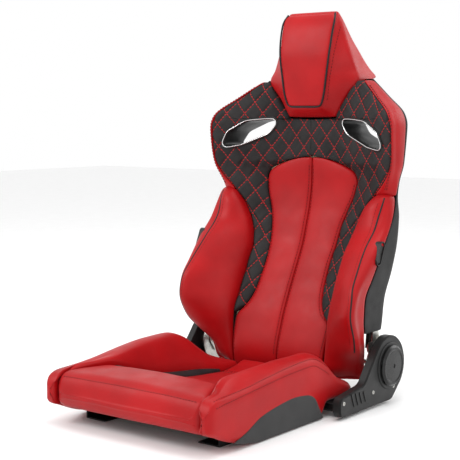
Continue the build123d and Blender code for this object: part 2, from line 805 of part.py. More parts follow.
def shell_section(z):
    side = along(SIDE_X, z)
    edge = along(EDGE_Y, z)
    rear_side = along(REAR_SIDE_Y, z)
    rear = along(REAR_Y, z)
    outer = [(side, edge), (side, rear_side - 10), (side - 12, rear_side), (0.62 * side, 0.3 * rear_side + 0.7 * rear),
             (0.25 * side, rear)]
    inner = [(side - SHELL_T, edge), (side - SHELL_T, rear_side - 12), (side - 13, rear_side - SHELL_T),
             (0.61 * side, 0.3 * rear_side + 0.7 * rear - SHELL_T), (0.25 * side, rear - SHELL_T)]
    ring = outer + [(-x, y) for x, y in reversed(outer)]
    return ring + [(-x, y) for x, y in inner] + list(reversed(inner))


with BuildPart() as rear_shell:
    add(stack(between(BACK_LEVELS, 172, 775), shell_section))
    add(pocket_room.part, mode=Mode.SUBTRACT)
    add(mirror(pocket_room.part, about=Plane.YZ), mode=Mode.SUBTRACT)
    add(opening_cut.part, mode=Mode.SUBTRACT)
    add(mirror(opening_cut.part, about=Plane.YZ), mode=Mode.SUBTRACT)
save(rear_shell.part, "rear_shell")

HEAD_SIDE_X = [(775, 137), (798, 124), (832, 112), (865, 100), (937, 79), (942, 70)]
HEAD_SIDE_Y = [(678, 392), (775, 392), (800, 398), (900, 397), (942, 398)]
HEAD_REAR_X = [(775, 132), (865, 92), (937, 70), (942, 64)]
HEAD_REAR_Y = [(775, 506), (800, 488), (880, 440), (930, 412), (942, 406)]
PLATEAU_X = [(678, 48), (706, 50), (736, 59), (783, 66), (824, 72), (870, 76), (922, 77), (942, 70)]
PLATEAU_Y = [(678, 389), (706, 355), (736, 353), (824, 351), (870, 357), (922, 372), (935, 384), (942, 392)]
INSERT_T = 10.0


def head_section(z):
    half = along(PLATEAU_X, z)
    sunk = along(PLATEAU_Y, z) + INSERT_T + GAP
    side = along(HEAD_X, z) - 1.2 if z < 775 else along(HEAD_SIDE_X, z)
    side_y = along(HEAD_SIDE_Y, z)
    return half, sunk, side, side_y


def head_front_section(z):
    half, sunk, side, side_y = head_section(z)
    back = along(CENTRE_Y, z) + COVER
    return [(-half, sunk), (half, sunk), (side, side_y), (side, back), (-side, back), (-side, side_y)]


def head_upper_section(z):
    half, sunk, side, side_y = head_section(z)
    rear_x = along(HEAD_REAR_X, z)
    rear = along(HEAD_REAR_Y, z)
    return [(-half, sunk), (half, sunk), (side, side_y), (rear_x, rear), (-rear_x, rear), (-side, side_y)]


with BuildPart() as frame_room:
    with BuildLine():
        FilletPolyline((60, 434, 700), (60, 434, 750), (46, 404, 862), (-46, 404, 862), (-60, 434, 750),
                       (-60, 434, 700), radius=(60, 22, 22, 60))
    with BuildSketch(Plane(origin=(60, 434, 700), z_dir=(0, 0, 1))):
        Circle(FRAME_R + GAP)
    sweep()

with BuildPart() as headrest_cover:
    add(stack(between(BACK_LEVELS, 681.5, 775.5, 706, 736), head_front_section))
    add(stack((775.5, 798, 824, 865, 900, 922, 930, 935), head_upper_section))
    add(frame_room.part, mode=Mode.SUBTRACT)
save(headrest_cover.part, "headrest_cover")


def insert_head_section(z):
    half = along(PLATEAU_X, z) - 4.0
    front = along(PLATEAU_Y, z)
    return [(-half, front), (half, front), (half, front + INSERT_T), (-half, front + INSERT_T)]


save(stack((717, 736, 783, 824, 870, 922, 931), insert_head_section), "headrest_insert")


PLATEAU_CORNERS = [(along(PLATEAU_X, z) + 0.6, along(PLATEAU_Y, z) + 4, z) for z in (922, 870, 824, 783, 707)]
headrest_route = PLATEAU_CORNERS + [(-x, y, z) for x, y, z in reversed(PLATEAU_CORNERS)]
save(piping(headrest_route, (90, 60, 60, 9, 9, 60, 60, 90), PIPING_R), "headrest_piping")


with BuildPart() as bezel:
    with BuildSketch(OPENING_PLANE):
        add(opening_outline(BEZEL_WALL))
        add(opening_outline(0), mode=Mode.SUBTRACT)
    extrude(amount=240)
    with BuildSketch(Plane.XY.offset(560)):
        with BuildLine():
            Polyline((60, 391), (100, 380), (170, 353), (260, 316), (265, 413), (169, 466), (60, 493), close=True)
        make_face()
    extrude(amount=160, mode=Mode.INTERSECT)
save_pair(bezel.part, "harness_bezel")

with BuildPart() as bezel_rings:
    with BuildSketch(OPENING_PLANE):
        add(opening_outline(BEZEL_WALL - 1.2))
        add(opening_outline(1.2), mode=Mode.SUBTRACT)
    extrude(amount=260)
    with BuildSketch(Plane.XY.offset(560)):
        with BuildLine():
            Polyline((60, 388.8), (100, 377.8), (170, 350.8), (260, 313.8), (260, 315.6),
                     (170, 352.6), (100, 379.6), (60, 390.6), close=True)
        make_face()
    extrude(amount=160, mode=Mode.INTERSECT)
    mirror(about=Plane.YZ)
save(bezel_rings.part, "bezel_rings")
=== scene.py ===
import json
import math

import bmesh
import bpy
import numpy as np
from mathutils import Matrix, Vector, noise
from mathutils.bvhtree import BVHTree


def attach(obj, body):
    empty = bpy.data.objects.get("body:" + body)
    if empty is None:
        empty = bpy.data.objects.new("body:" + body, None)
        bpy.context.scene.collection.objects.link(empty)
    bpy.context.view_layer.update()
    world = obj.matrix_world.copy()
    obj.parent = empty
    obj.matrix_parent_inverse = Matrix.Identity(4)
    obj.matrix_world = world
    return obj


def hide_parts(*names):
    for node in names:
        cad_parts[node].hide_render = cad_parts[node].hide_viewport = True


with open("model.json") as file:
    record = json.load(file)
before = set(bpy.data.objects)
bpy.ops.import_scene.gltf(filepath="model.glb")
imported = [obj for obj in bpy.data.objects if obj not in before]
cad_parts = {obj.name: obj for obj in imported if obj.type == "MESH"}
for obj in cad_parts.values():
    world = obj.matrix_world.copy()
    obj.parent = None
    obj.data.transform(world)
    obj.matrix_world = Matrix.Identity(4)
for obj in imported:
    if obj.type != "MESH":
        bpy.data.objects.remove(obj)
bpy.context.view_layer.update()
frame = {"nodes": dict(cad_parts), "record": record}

MM = 0.001
SIDES = (("left", 1), ("right", -1))

# ---------------------------------------------------------------- camera, light and floor

CAMERA_AT = (1.655, -2.085, 0.6915)
CAMERA_TURN = math.radians(37.756)
CAMERA_DIP = math.radians(5.75)
LENS = 91.1739               # millimetres, on a sensor of SENSOR millimetres
SENSOR = 36.0

camera = bpy.data.objects.new("camera", bpy.data.cameras.new("camera"))
bpy.context.scene.collection.objects.link(camera)
bpy.context.scene.camera = camera
camera.data.sensor_width = SENSOR
camera.data.lens = LENS
camera.location = CAMERA_AT
camera.rotation_euler = (math.radians(90) - CAMERA_DIP, 0, CAMERA_TURN)


def area_light(name, place, target, size, power, colour=(1, 1, 1)):
    data = bpy.data.lights.new(name, "AREA")
    data.shape = "RECTANGLE"
    data.size, data.size_y = size
    data.energy = power
    data.color = colour
    lamp = bpy.data.objects.new(name, data)
    bpy.context.scene.collection.objects.link(lamp)
    lamp.location = place
    lamp.rotation_euler = (Vector(target) - Vector(place)).to_track_quat("-Z", "Y").to_euler()


CENTRE = (0, 0.15, 0.45)
area_light("key", (-1.7, -2.2, 2.3), CENTRE, (1.2, 1.2), 42)
area_light("fill", (2.8, -1.4, 1.6), CENTRE, (1.0, 1.8), 16)
area_light("top", (0.3, 0.3, 3.0), CENTRE, (1.8, 1.2), 30)
area_light("rear", (1.2, 2.8, 1.8), CENTRE, (1.6, 1.6), 22)

world = bpy.data.worlds.new("studio")
world.use_nodes = True
world.node_tree.nodes["Background"].inputs["Color"].default_value = (1, 1, 1, 1)
world.node_tree.nodes["Background"].inputs["Strength"].default_value = 1.0
bpy.context.scene.world = world
bpy.context.scene.view_settings.view_transform = "Standard"


# ---------------------------------------------------------------- materials

class Nodes:
    """A short way to wire a procedural material."""

    def __init__(self, name):
        self.material = bpy.data.materials.new(name)
        self.material.use_nodes = True
        self.tree = self.material.node_tree
        self.shader = self.tree.nodes["Principled BSDF"]
        self.coords = self.add("ShaderNodeTexCoord").outputs["Object"]

    def add(self, kind, inputs=(), **settings):
        node = self.tree.nodes.new(kind)
        for key, value in settings.items():
            setattr(node, key, value)
        for key, value in dict(inputs).items():
            self.put(node.inputs[key], value)
        return node

    def put(self, socket, value):
        if isinstance(value, bpy.types.NodeSocket):
            self.tree.links.new(value, socket)
        else:
            socket.default_value = value

    def maths(self, operation, *values):
        node = self.add("ShaderNodeMath", operation=operation)
        for socket, value in zip(node.inputs, values):
            self.put(socket, value)
        return node.outputs[0]

    def noise(self, scale, detail=4.0, roughness=0.55):
        return self.add("ShaderNodeTexNoise", {"Vector": self.coords, "Scale": scale, "Detail": detail,
                                               "Roughness": roughness}).outputs["Fac"]

    def cells(self, scale, feature="F1"):
        node = self.add("ShaderNodeTexVoronoi", {"Vector": self.coords, "Scale": scale}, feature=feature)
        return node.outputs["Distance"]

    def ramp(self, factor, *stops):
        node = self.add("ShaderNodeValToRGB", {"Fac": factor})
        while len(node.color_ramp.elements) < len(stops):
            node.color_ramp.elements.new(0.5)
        for element, (place, colour) in zip(node.color_ramp.elements, stops):
            element.position = place
            element.color = (*colour, 1)
        return node.outputs["Color"]

    def mix(self, factor, first, second):
        node = self.add("ShaderNodeMix", data_type="RGBA")
        self.put(node.inputs[0], factor)
        self.put(node.inputs[6], first)
        self.put(node.inputs[7], second)
        return node.outputs[2]

    def bump(self, height, strength, distance, previous=None):
        node = self.add("ShaderNodeBump", {"Height": height, "Strength": strength, "Distance": distance})
        if previous is not None:
            self.put(node.inputs["Normal"], previous)
        return node.outputs["Normal"]

    def finish(self, **values):
        for key, value in values.items():
            self.put(self.shader.inputs[key.replace("_", " ")], value)
        return self.material


def grey(value):
    return (value, value, value)


def leather(name, dark, light, rough_low, rough_high, grain=1.0):
    """Smooth synthetic leather: fine pebble grain, soft mottling and faint creases."""
    m = Nodes(name)
    tone = m.ramp(m.noise(9, 5), (0.32, dark), (0.68, light))
    pores = m.cells(1500)
    fine = m.noise(2600, 2)
    creases = m.noise(60, 8, 0.62)
    normal = m.bump(pores, 0.16 * grain, 0.0004)
    normal = m.bump(fine, 0.10 * grain, 0.0003, normal)
    normal = m.bump(creases, 0.10, 0.0018, normal)
    rough = m.ramp(m.noise(26, 5), (0.3, grey(rough_low)), (0.7, grey(rough_high)))
    material = m.finish(Base_Color=tone, Roughness=rough, Normal=normal)
    m.finish(Specular_IOR_Level=0.20, Sheen_Weight=0.02, Sheen_Roughness=0.45)
    return material


RED_DARK = (0.30, 0.0015, 0.003)
RED_LIGHT = (0.39, 0.003, 0.005)
red_leather = leather("red_leather", RED_DARK, RED_LIGHT, 0.36, 0.47)
black_leather = leather("black_leather", (0.010, 0.010, 0.011), (0.020, 0.020, 0.021), 0.42, 0.55)
piping_black = leather("piping_black", (0.008, 0.008, 0.009), (0.014, 0.014, 0.015), 0.35, 0.5, 1.4)

DIAMOND = 0.046                # spacing of the quilting lines, measured along X
DIAMOND_SLOPE = 0.80


def quilted():
    """Black leather with red thread along the diamond lines."""
    m = Nodes("quilted_leather")
    split = m.add("ShaderNodeSeparateXYZ", {"Vector": m.coords})
    across, up = split.outputs["X"], m.maths("MULTIPLY", split.outputs["Z"], DIAMOND_SLOPE)
    masks = []
    for operation in ("ADD", "SUBTRACT"):
        turns = m.maths("DIVIDE", m.maths(operation, m.maths("ABSOLUTE", across), up), DIAMOND)
        distance = m.maths("ABSOLUTE", m.maths("SUBTRACT", m.maths("FRACT", turns), 0.5))
        line = m.maths("GREATER_THAN", distance, 0.5 - 0.0012 / DIAMOND)
        dash = m.maths("LESS_THAN", m.maths("FRACT", m.maths("MULTIPLY", up, 190.0)), 0.66)
        masks.append(m.maths("MULTIPLY", line, dash))
    thread = m.maths("MAXIMUM", *masks)
    tone = m.ramp(m.noise(14, 5), (0.3, (0.013, 0.012, 0.012)), (0.7, (0.026, 0.024, 0.024)))
    colour = m.mix(thread, tone, (0.42, 0.010, 0.010, 1))
    normal = m.bump(m.cells(1300), 0.25, 0.0004)
    normal = m.bump(m.noise(90, 6), 0.12, 0.0012, normal)
    normal = m.bump(thread, 0.6, 0.0006, normal)
    rough = m.ramp(m.noise(30, 4), (0.3, grey(0.50)), (0.7, grey(0.62)))
    m.finish(Base_Color=colour, Roughness=rough, Normal=normal, Specular_IOR_Level=0.16)
    return m.material


def plastic(name, low, high, rough, grain, size=1.0):
    m = Nodes(name)
    tone = m.ramp(m.noise(12, 4), (0.3, grey(low)), (0.7, grey(high)))
    normal = m.bump(m.cells(900 / size), grain, 0.0004 * size)
    normal = m.bump(m.noise(220, 3), 0.08, 0.0005, normal)
    roughness = m.ramp(m.noise(35, 4), (0.3, grey(rough - 0.05)), (0.7, grey(rough + 0.06)))
    m.finish(Base_Color=tone, Roughness=roughness, Normal=normal, Specular_IOR_Level=0.28)
    return m.material


def metal(name, low, high, rough, metallic=1.0):
    m = Nodes(name)
    tone = m.ramp(m.noise(40, 6), (0.3, low), (0.7, high))
    normal = m.bump(m.noise(500, 4), 0.12, 0.0004)
    roughness = m.ramp(m.noise(60, 4), (0.3, grey(rough - 0.06)), (0.7, grey(rough + 0.08)))
    m.finish(Base_Color=tone, Roughness=roughness, Normal=normal, Metallic=metallic)
    return m.material


def fabric():
    """Black woven side cloth."""
    m = Nodes("black_fabric")
    split = m.add("ShaderNodeSeparateXYZ", {"Vector": m.coords})
    weave = m.maths("MULTIPLY", m.maths("SINE", m.maths("MULTIPLY", split.outputs["Y"], 4200.0)),
                    m.maths("SINE", m.maths("MULTIPLY", split.outputs["Z"], 4200.0)))
    tone = m.ramp(m.noise(30, 5), (0.3, grey(0.010)), (0.7, grey(0.022)))
    m.finish(Base_Color=tone, Roughness=0.9, Normal=m.bump(weave, 0.5, 0.0004), Sheen_Weight=0.12)
    return m.material


def foam():
    m = Nodes("foam")
    tone = m.ramp(m.noise(50, 6), (0.3, (0.50, 0.45, 0.30)), (0.7, (0.62, 0.57, 0.40)))
    m.finish(Base_Color=tone, Roughness=0.95, Normal=m.bump(m.cells(500), 0.6, 0.001))
    return m.material


quilted_leather = quilted()
black_plastic = plastic("black_plastic", 0.010, 0.017, 0.44, 0.16)
gloss_plastic = plastic("gloss_plastic", 0.008, 0.012, 0.26, 0.05)
shell_plastic = plastic("shell_plastic", 0.011, 0.018, 0.58, 0.45, 1.6)
black_fabric = fabric()
foam_block = foam()
black_steel = metal("black_steel", grey(0.012), grey(0.022), 0.42, 0.6)
zinc_steel = metal("zinc_steel", (0.42, 0.42, 0.40), (0.58, 0.57, 0.53), 0.32)
spring_steel = metal("spring_steel", grey(0.16), grey(0.26), 0.38)
bright_trim = metal("bright_trim", grey(0.70), grey(0.82), 0.16)
seam_thread = leather("seam_thread", (0.11, 0.002, 0.003), (0.15, 0.003, 0.004), 0.5, 0.6, 2.0)

CAD_LOOKS = {
    "black_steel": black_steel, "zinc_steel": zinc_steel, "spring_steel": spring_steel,
    "black_plastic": black_plastic, "black_screw": zinc_steel, "bright_trim": bright_trim,
    "foam": foam_block, "black_fabric": black_fabric, "shell_plastic": shell_plastic,
    "red_leather": red_leather, "black_leather": black_leather, "quilted_leather": quilted_leather,
    "black_piping": piping_black,
}
for part in frame["record"]["subparts"]:
    node = frame["nodes"][part["node"]]
    look = gloss_plastic if "hand_wheel" in part["node"] else CAD_LOOKS[part["material_slot"]]
    for index in range(len(node.material_slots)):
        node.material_slots[index].material = look


# ---------------------------------------------------------------- shape curves, in millimetres

def curve(*knots):
    """Smooth curve through (position, value) knots, with no overshoot between them."""
    at = np.array([knot[0] for knot in knots], float)
    value = np.array([knot[1] for knot in knots], float)
    rise = np.diff(value) / np.diff(at)
    slope = np.zeros(len(at))
    slope[0], slope[-1] = rise[0], rise[-1]
    for index in range(1, len(at) - 1):
        before, after = rise[index - 1], rise[index]
        if before * after > 0:
            slope[index] = 2 * before * after / (before + after)

    def evaluate(position):
        position = min(max(position, at[0]), at[-1])
        index = min(int(np.searchsorted(at, position, side="right")) - 1, len(at) - 2)
        width = at[index + 1] - at[index]
        t = (position - at[index]) / width
        return float((1 + 2 * t) * (1 - t) ** 2 * value[index] + t * (1 - t) ** 2 * width * slope[index]
                     + t * t * (3 - 2 * t) * value[index + 1] + t * t * (t - 1) * width * slope[index + 1])
    return evaluate


CENTRE_Y = curve((60, 240), (92, 237), (178, 260), (249, 292), (318, 328), (367, 352), (417, 368),
                 (457, 380), (527, 390), (800, 392))
PANEL_X = curve((60, 134), (92, 136), (178, 143), (204, 117), (249, 101), (318, 97), (367, 101),
                (417, 108), (457, 121), (495, 134), (525, 137), (545, 128), (562, 96), (574, 55), (582, 0))
SEAM_X = curve((60, 136), (92, 138), (178, 146), (261, 144), (344, 144), (378, 151), (417, 164),
               (457, 184), (495, 214), (530, 245), (559, 262), (600, 269),
               (650, 270), (683, 260), (730, 204), (775, 144))
SEAM_Y = curve((60, 240), (92, 240), (178, 249), (261, 285), (344, 328), (378, 344), (417, 353),
               (457, 351), (495, 344), (559, 329), (662, 318), (683, 321), (730, 358), (775, 393))
RIDGE_X = curve((60, 200), (92, 207), (133, 232), (178, 252), (249, 258), (318, 248),
                (378, 240), (430, 238), (495, 246))
RIDGE_Y = curve((60, 276), (92, 268), (133, 232), (178, 192), (230, 170), (277, 180), (318, 211),
                (378, 266), (417, 308), (457, 328), (495, 341))
SIDE_X = curve((92, 226), (133, 237), (178, 252), (249, 257), (318, 267), (378, 271), (440, 268),
               (495, 258), (527, 260), (568, 270), (662, 274), (690, 264), (730, 215), (775, 158))
EDGE_Y = curve((92, 292), (133, 276), (167, 252), (204, 241), (257, 240), (302, 259), (344, 281),
               (378, 300), (439, 343), (483, 371), (559, 384), (662, 388), (775, 424))
REAR_SIDE_Y = curve((92, 318), (147, 332), (244, 338), (315, 355), (410, 378), (482, 392),
                    (602, 402), (690, 412), (775, 440))
REAR_Y = curve((92, 336), (150, 352), (250, 386), (400, 434), (540, 468), (690, 496), (775, 508))
HEAD_X = curve((662, 70), (678, 70), (724, 98), (775, 137))
SPINE_X = 79.0


def bend_x(z):
    return max(PANEL_X(z), min(SPINE_X, SEAM_X(z) - 5))


def front_y(x, z):
    """Front surface of the backrest, eased where it starts to turn forward."""
    seam, bend = SEAM_X(z), bend_x(z)
    if abs(x) <= bend - 12:
        return CENTRE_Y(z)
    t = min(1.0, (abs(x) - bend + 12) / max(seam - bend + 12, 1))
    return CENTRE_Y(z) + (SEAM_Y(z) - CENTRE_Y(z)) * t ** 1.18


# ---------------------------------------------------------------- mesh helpers

def mesh_object(name, verts, faces, material):
    mesh = bpy.data.meshes.new(name)
    mesh.from_pydata([tuple(v) for v in verts], [], faces)
    mesh.validate()
    body = bmesh.new()
    body.from_mesh(mesh)
    bmesh.ops.recalc_face_normals(body, faces=body.faces)
    body.to_mesh(mesh)
    body.free()
    for polygon in mesh.polygons:
        polygon.use_smooth = True
    piece = bpy.data.objects.new(name, mesh)
    bpy.context.scene.collection.objects.link(piece)
    mesh.materials.append(material)
    return piece


def apply_modifiers(piece):
    """Freezes a piece's modifiers into its mesh."""
    evaluated = piece.evaluated_get(bpy.context.evaluated_depsgraph_get())
    mesh = bpy.data.meshes.new_from_object(evaluated)
    piece.modifiers.clear()
    piece.data = mesh
    for polygon in mesh.polygons:
        polygon.use_smooth = True


def refine(corners, counts, radius):
    """Closed ring of points round a section, with each corner cut back ready for rounding."""
    ring, marks = [], []
    for index, (start, end) in enumerate(zip(corners, corners[1:] + corners[:1])):
        start, end = np.array(start, float), np.array(end, float)
        length = np.linalg.norm(end - start)
        cut = min(radius, 0.3 * length) / max(length, 1e-6)
        for t in np.linspace(cut, 1 - cut, counts[index] + 2):
            ring.append(start + (end - start) * t)
            marks.append((index, float(t)))
    return np.array(ring), marks


def outward(ring):
    """Outward normals of a closed ring."""
    ahead, behind = np.roll(ring, -1, 0), np.roll(ring, 1, 0)
    tangent = ahead - behind
    tangent /= np.maximum(np.linalg.norm(tangent, axis=1, keepdims=True), 1e-6)
    normal = np.stack([tangent[:, 1], -tangent[:, 0]], 1)
    area = np.sum(ring[:, 0] * np.roll(ring[:, 1], -1) - np.roll(ring[:, 0], -1) * ring[:, 1])
    return normal if area > 0 else -normal


def loft(name, low, high, step, section, counts, material, radius=4.0, puff=None, axis="Z",
         ruffle=0.5, mirror=1, end_round=None, domed=0.0):
    """Closed padded form through sections from low to high. puff maps a side's index to its crown in mm,
    and domed is the crown of the low end."""
    end_round = radius if end_round is None else end_round
    levels = [low + end_round * f for f in (0, 0.35, 1)]
    inner_count = max(2, int(round((high - low - 2 * end_round) / step)))
    levels += list(np.linspace(low + end_round, high - end_round, inner_count + 1)[1:-1])
    levels += [high - end_round * f for f in (1, 0.35, 0)]
    insets = [end_round * 0.9, end_round * 0.25] + [0] * (len(levels) - 4) + [end_round * 0.25, end_round * 0.9]
    verts, rings = [], []
    for level, inset in zip(levels, insets):
        corners = [tuple(c) for c in section(level)]
        ring, marks = refine(corners, counts, radius)
        normal = outward(ring)
        fade = min(1.0, min(level - low, high - level) / 30 + 0.05)
        for k, (side, t) in enumerate(marks):
            lift = -inset
            if puff and side in puff:
                lift += puff[side] * fade * max(0.0, 1 - (2 * t - 1) ** 2) ** 0.6
            ring[k] = ring[k] + normal[k] * lift
        rings.append(range(len(verts), len(verts) + len(ring)))
        for a, b in ring:
            verts.append((a, b, level) if axis == "Z" else (a, level, b))
    if domed:
        first = np.array([verts[k] for k in rings[0]])
        middle = first.mean(0)
        for share in (0.9, 0.7, 0.45, 0.2):
            ring = middle + (first - middle) * share
            ring[:, 2 if axis == "Z" else 1] -= domed * (1 - share) ** 0.5
            rings.insert(0, range(len(verts), len(verts) + len(ring)))
            verts += [tuple(point) for point in ring]
    faces = []
    for lower, upper in zip(rings, rings[1:]):
        count = len(lower)
        for k in range(count):
            n = (k + 1) % count
            faces.append((lower[k], lower[n], upper[n], upper[k]))
    faces.append(tuple(reversed(rings[0])))
    faces.append(tuple(rings[-1]))
    points = []
    for x, y, z in verts:
        wave = noise.noise(Vector((x * 0.018, y * 0.018, z * 0.018)) + Vector((3, 7, 11)))
        points.append((mirror * x * MM, (y + ruffle * wave) * MM, (z + 0.5 * ruffle * wave) * MM))
    piece = mesh_object(name, points, faces, material)
    modifier = piece.modifiers.new("round", "SUBSURF")
    modifier.levels = modifier.render_levels = 1
    apply_modifiers(piece)
    return piece


def tube(name, points, radius, material, closed=False):
    """Round cord through points given in millimetres."""
    data = bpy.data.curves.new(name, "CURVE")
    data.dimensions = "3D"
    data.bevel_depth = radius * MM
    data.bevel_resolution = 3
    data.use_fill_caps = True
    spline = data.splines.new("NURBS")
    spline.points.add(len(points) - 1)
    for target, (x, y, z) in zip(spline.points, points):
        target.co = (x * MM, y * MM, z * MM, 1)
    spline.use_cyclic_u = closed
    spline.order_u = 4
    spline.use_endpoint_u = not closed
    spline.resolution_u = 3
    piece = bpy.data.objects.new(name, data)
    bpy.context.scene.collection.objects.link(piece)
    data.materials.append(material)
    return piece


def surface_of(*pieces):
    verts, faces = [], []
    for piece in pieces:
        base = len(verts)
        verts += [v.co.copy() for v in piece.data.vertices]
        faces += [tuple(base + i for i in p.vertices) for p in piece.data.polygons]
    return BVHTree.FromPolygons(verts, faces)


def drop(tree, points, direction, reach=0.12):
    """Points moved along a direction onto a surface, as (place, normal) pairs in metres."""
    landed = []
    way = Vector(direction).normalized()
    for x, y, z in points:
        start = Vector((x, y, z)) * MM - way * reach
        place, normal, _, _ = tree.ray_cast(start, way, 2 * reach)
        if place is not None:
            landed.append((place, normal))
    return landed


def stitches(name, track, material, length=5.6, gap=2.4, radius=0.8):
    """Row of single stitches lying on a track of (place, normal) pairs."""
    places = np.array([list(p) for p, _ in track])
    normals = np.array([list(n) for _, n in track])
    run = np.concatenate([[0], np.cumsum(np.linalg.norm(np.diff(places, axis=0), axis=1))])

    def at(values, distance):
        return np.array([np.interp(distance, run, values[:, k]) for k in range(3)])
    verts, faces = [], []
    position = gap * MM
    while position + length * MM < run[-1]:
        start, end = at(places, position), at(places, position + length * MM)
        normal = at(normals, position)
        normal /= max(np.linalg.norm(normal), 1e-9)
        along = (end - start) / max(np.linalg.norm(end - start), 1e-9)
        across = np.cross(along, normal)
        for t, size, lift in ((0, 0.35, -0.2), (0.2, 1, 0.5), (0.8, 1, 0.5), (1, 0.35, -0.2)):
            middle = start + (end - start) * t + normal * radius * MM * lift
            for k in range(6):
                turn = 2 * math.pi * k / 6
                verts.append(middle + radius * MM * size * (across * math.cos(turn) + normal * math.sin(turn)))
        base = len(verts) - 24
        for ring in range(3):
            for k in range(6):
                n = (k + 1) % 6
                start_ring, end_ring = base + 6 * ring, base + 6 * ring + 6
                faces.append((start_ring + k, start_ring + n, end_ring + n, end_ring + k))
        faces.append(tuple(base + k for k in range(5, -1, -1)))
        faces.append(tuple(base + 18 + k for k in range(6)))
        position += (length + gap) * MM
    return mesh_object(name, verts, faces, material)


def cut_with(piece, cutter):
    modifier = piece.modifiers.new("cut", "BOOLEAN")
    modifier.operation = "DIFFERENCE"
    modifier.solver = "EXACT"
    modifier.object = cutter
    apply_modifiers(piece)


def soft(piece, body, node):
    """Attaches a padded piece to its body and hides the CAD node that it stands for."""
    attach(piece, body)
    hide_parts(node)
    return piece


# ---------------------------------------------------------------- harness openings

def rounded(corners, radii, steps=7):
    """Closed outline through corners with an arc at each."""
    outline = []
    count = len(corners)
    for index in range(count):
        before, here, after = (np.array(corners[(index + k) % count], float) for k in (-1, 0, 1))
        first, second = (before - here), (after - here)
        first /= np.linalg.norm(first)
        second /= np.linalg.norm(second)
        half = math.acos(max(-1, min(1, float(np.dot(first, second))))) / 2
        reach = radii[index] / math.tan(half)
        centre = here + (first + second) / np.linalg.norm(first + second) * radii[index] / math.sin(half)
        start, end = here + first * reach - centre, here + second * reach - centre
        angle = math.atan2(start[0] * end[1] - start[1] * end[0], float(np.dot(start, end)))
        for k in range(steps + 1):
            turn = angle * k / steps
            c, s = math.cos(turn), math.sin(turn)
            outline.append(centre + np.array([start[0] * c - start[1] * s, start[0] * s + start[1] * c]))
    return np.array(outline)


OPENING = rounded(((92, 677), (178, 668), (224, 640), (243, 600), (190, 612), (122, 640)),
                  (9, 50, 25, 9, 40, 40))
CUTTER_GROW = 3.2


def grown(outline, amount):
    return outline + outward(outline) * amount


def opening_cutter(sign):
    outline = grown(OPENING, CUTTER_GROW)
    verts = [(sign * x * MM, y * MM, z * MM) for y in (230, 560) for x, z in outline]
    count = len(outline)
    faces = [tuple(range(count)), tuple(range(count, 2 * count))]
    faces += [(k, (k + 1) % count, count + (k + 1) % count, count + k) for k in range(count)]
    cutter = mesh_object("cutter", verts, faces, black_plastic)
    return cutter


CUTTERS = {sign: opening_cutter(sign) for _, sign in SIDES}


def shell_rear_y(x, z):
    """Rear surface of the shell at the harness openings."""
    side, rear_side, rear = SIDE_X(z), REAR_SIDE_Y(z), REAR_Y(z)
    knots = [(0.25 * side, rear), (0.62 * side, 0.3 * rear_side + 0.7 * rear), (side - 12, rear_side)]
    return float(np.interp(abs(x), [k[0] for k in knots], [k[1] for k in knots]))


def make_bezel(name, sign):
    """Moulded sleeve through an opening, with a lip in front and behind."""
    loops = ((8.2, "front", 1.5), (7.8, "front", -3.6), (5.4, "front", -6.2), (1.6, "front", -5.4),
             (0, "front", 1.0),
             (0, "front", 14), (0, "rear", -8), (0.5, "rear", 2.2), (4.4, "rear", 2.2), (5.0, "rear", 0.4))
    verts, faces = [], []
    for grow, side, depth in loops:
        for x, z in grown(OPENING, grow):
            base = front_y(x, z) if side == "front" else shell_rear_y(x, z)
            verts.append((sign * x * MM, (base + depth) * MM, z * MM))
    count = len(OPENING)
    for ring in range(len(loops) - 1):
        for k in range(count):
            n = (k + 1) % count
            faces.append((ring * count + k, ring * count + n, (ring + 1) * count + n, (ring + 1) * count + k))
    piece = mesh_object(name, verts, faces, black_plastic)
    thick = piece.modifiers.new("wall", "SOLIDIFY")
    thick.thickness = 0.0016
    thick.offset = -1
    round_off = piece.modifiers.new("round", "SUBSURF")
    round_off.levels = round_off.render_levels = 1
    apply_modifiers(piece)
    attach(piece, "backrest")
    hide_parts(name)
    return piece


# ---------------------------------------------------------------- backrest covers

COVER = 12.0


def back_panel_section(z):
    outer = PANEL_X(z) - 0.4
    front = CENTRE_Y(z)
    return [(0.5, front + 0.8), (outer, front), (outer, front + COVER), (0.5, front + COVER)]


def quilt_inner(z):
    if z < 582:
        return PANEL_X(z) + 0.4
    return 0.0 if z < 676 else HEAD_X(z) + 0.4


def band_section(z):
    seam, side, front, edge = SEAM_X(z), SIDE_X(z), SEAM_Y(z), EDGE_Y(z) - 0.4
    return [(seam + 0.3, front + 0.5), (seam + 0.55 * (side - seam) + 3, front + 5), (side + 1.5, front + 22),
            (side, edge), (side - COVER, edge), (side - COVER, front + 24), (seam, front + COVER)]


def bolster_section(z):
    seam, side, edge = SEAM_X(z), SIDE_X(z), EDGE_Y(z) - 0.4
    ridge_x, ridge_y = RIDGE_X(z), RIDGE_Y(z)
    return [(seam + 0.4, SEAM_Y(z)), (ridge_x, ridge_y), (side, 0.62 * ridge_y + 0.38 * edge),
            (side, edge), (side - COVER, edge), (seam + 12, SEAM_Y(z) + COVER), (seam + 0.4, SEAM_Y(z) + COVER)]


def groove(x, z):
    """Depth of the sewn diamond channels at a point of the quilted panel."""
    depth = 0.0
    for way in (1, -1):
        turns = (abs(x) * MM + way * z * MM * DIAMOND_SLOPE) / DIAMOND
        distance = abs(turns - math.floor(turns + 0.5)) * DIAMOND / MM
        depth = max(depth, math.exp(-(distance / 5.0) ** 2))
    return depth


